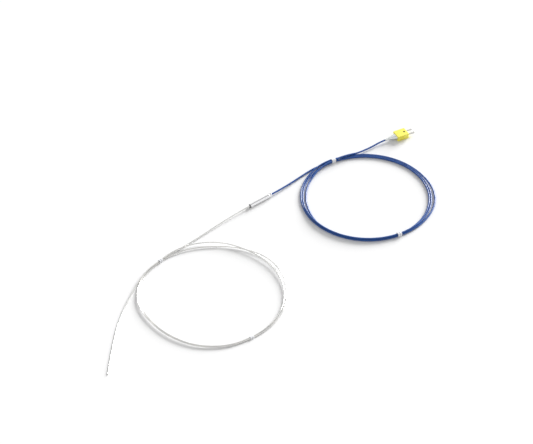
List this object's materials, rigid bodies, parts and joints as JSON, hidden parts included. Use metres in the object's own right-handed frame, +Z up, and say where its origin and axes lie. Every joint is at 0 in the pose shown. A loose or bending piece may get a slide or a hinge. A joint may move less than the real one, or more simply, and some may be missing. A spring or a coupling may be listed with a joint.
{
  "type": "thermocouple",
  "caption": "Thin mineral-insulated metal sheath, coiled, joined by a steel sleeve to a coiled blue extension lead with a yellow flat-pin plug, for measuring temperature.",
  "frame": {"origin": "under the middle of the transition sleeve, on the surface the part lies on", "axes": "+X along the transition sleeve's axis towards the extension lead and its plug, +Z up from the surface"},
  "size_m": [0.6526, 0.2258, 0.008],
  "materials": {
    "sheath_steel": "bright annealed stainless tube",
    "sleeve_steel": "bright turned stainless steel",
    "clamp_steel": "pressed stainless sheet",
    "lead_jacket": "smooth blue jacket",
    "plug_yellow": "yellow glass-filled moulding, satin",
    "tie_white": "white plastic-coated tie",
    "blade_alloy": "thermocouple alloy, stamped",
    "screw_steel": "zinc plated steel",
    "insert_brass": "knurled brass",
    "mineral_powder": "packed mineral powder, magnesium oxide",
    "casting_resin": "dark casting resin",
    "bush_rubber": "black rubber",
    "core_yellow": "yellow core insulation",
    "core_red": "red core insulation",
    "element_alloy": "drawn nickel alloy wire",
    "splice_nickel": "nickel crimp",
    "sleeving_white": "woven glass sleeving"
  },
  "bodies": {
    "root": {"sheath_run": "sheath_steel", "sheath_coil": "sheath_steel", "sheath_tail": "sheath_steel", "sheath_tip": "sheath_steel", "sheath_root": "sheath_steel", "tip_cap": "sheath_steel", "transition_sleeve": "sleeve_steel", "cable_clamp": "clamp_steel", "lead_run_in": "lead_jacket", "lead_coil": "lead_jacket", "lead_run_out": "lead_jacket", "lead_jacket_root": "lead_jacket", "lead_jacket_end": "lead_jacket", "plug_base": "plug_yellow", "plug_cover": "plug_yellow", "sheath_tie_a": "tie_white", "sheath_tie_b": "tie_white", "lead_tie_a": "tie_white", "lead_tie_b": "tie_white", "blade_positive": "blade_alloy", "blade_negative": "blade_alloy", "terminal_screw_positive": "screw_steel", "terminal_screw_negative": "screw_steel", "terminal_washer_positive": "screw_steel", "terminal_washer_negative": "screw_steel", "cover_screw": "screw_steel", "threaded_insert": "insert_brass", "root_insulation": "mineral_powder", "tip_insulation": "mineral_powder", "potting_compound": "casting_resin", "sealing_bush": "bush_rubber", "entry_grommet": "bush_rubber", "core_insulation_positive": "core_yellow", "core_insulation_negative": "core_red", "plug_insulation_positive": "core_yellow", "plug_insulation_negative": "core_red", "core_wire_positive": "element_alloy", "core_wire_negative": "element_alloy", "plug_wire_positive": "element_alloy", "plug_wire_negative": "element_alloy", "element_positive": "element_alloy", "element_negative": "element_alloy", "tip_element_positive": "element_alloy", "tip_element_negative": "element_alloy", "junction_bead": "element_alloy", "splice_positive": "splice_nickel", "splice_negative": "splice_nickel", "element_sleeving_positive": "sleeving_white", "element_sleeving_negative": "sleeving_white"}
  },
  "joints": []
}
